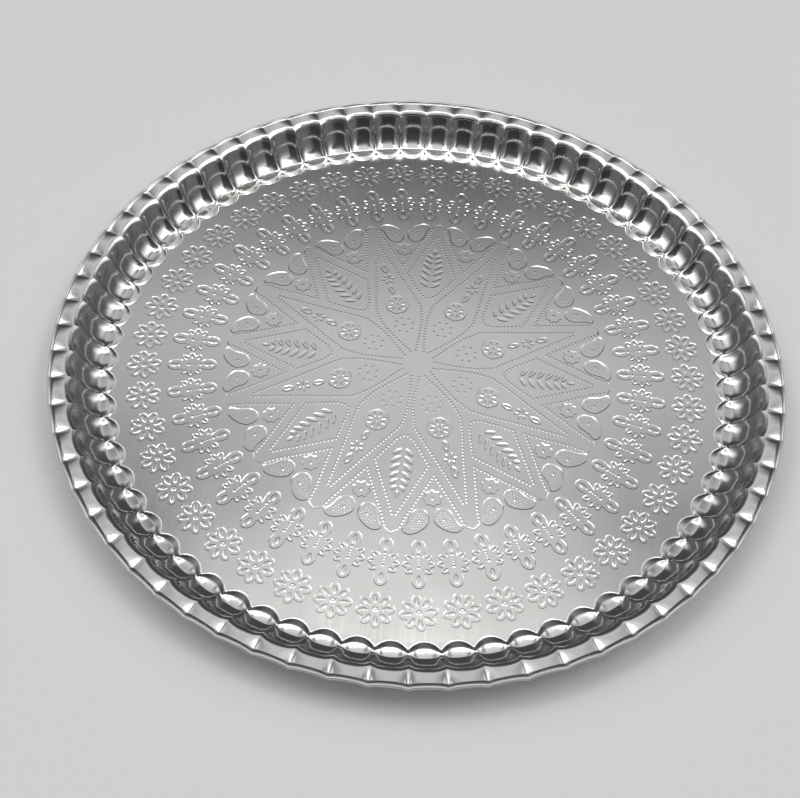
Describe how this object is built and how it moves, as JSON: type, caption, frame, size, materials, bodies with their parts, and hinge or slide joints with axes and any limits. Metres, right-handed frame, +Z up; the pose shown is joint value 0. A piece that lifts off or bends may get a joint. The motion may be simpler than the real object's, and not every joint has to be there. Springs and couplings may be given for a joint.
{
  "type": "serving tray",
  "caption": "Round polished steel serving tray with a fluted wall, a creased flange and a wired rim, its flat base embossed with a star and rings of flowers.",
  "frame": {"origin": "centre of the flat underside, on the surface that the tray stands on", "axes": "+Z up along the tray's axis, -Y towards the side that the picture is taken from, a flute's middle on +X"},
  "size_m": [0.3994, 0.3994, 0.0219],
  "materials": {
    "polished_steel": "bright polished, with fine wiping marks",
    "steel_wire": "drawn wire, satin"
  },
  "bodies": {
    "root": {"pressed_pan": "polished_steel", "rim_wire": "steel_wire"}
  },
  "joints": []
}
